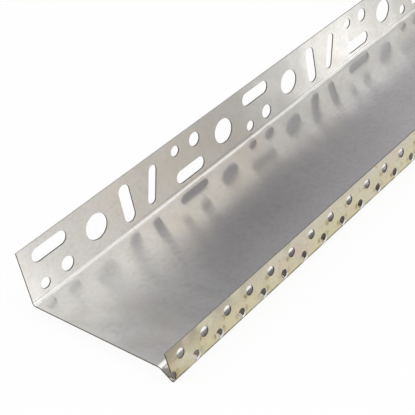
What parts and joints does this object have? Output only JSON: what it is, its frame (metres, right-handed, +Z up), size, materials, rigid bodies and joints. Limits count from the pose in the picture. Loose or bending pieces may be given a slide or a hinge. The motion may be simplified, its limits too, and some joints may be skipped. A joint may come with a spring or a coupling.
{
  "type": "aluminium plinth profile",
  "caption": "Folded aluminium base rail with a punched wall flange, a level board seat, a drip edge and a perforated front lip.",
  "frame": {"origin": "centre of the bounding box in X and Y, at the level of the drip edge, which is the lowest line of the profile", "axes": "+X along the bar, +Y towards the wall that the flange is fixed to, +Z up from the seat"},
  "size_m": [2, 0.1168, 0.047],
  "materials": {
    "mill_aluminium": "mill finish, semi-bright"
  },
  "bodies": {
    "root": {"plinth_profile": "mill_aluminium"}
  },
  "joints": []
}
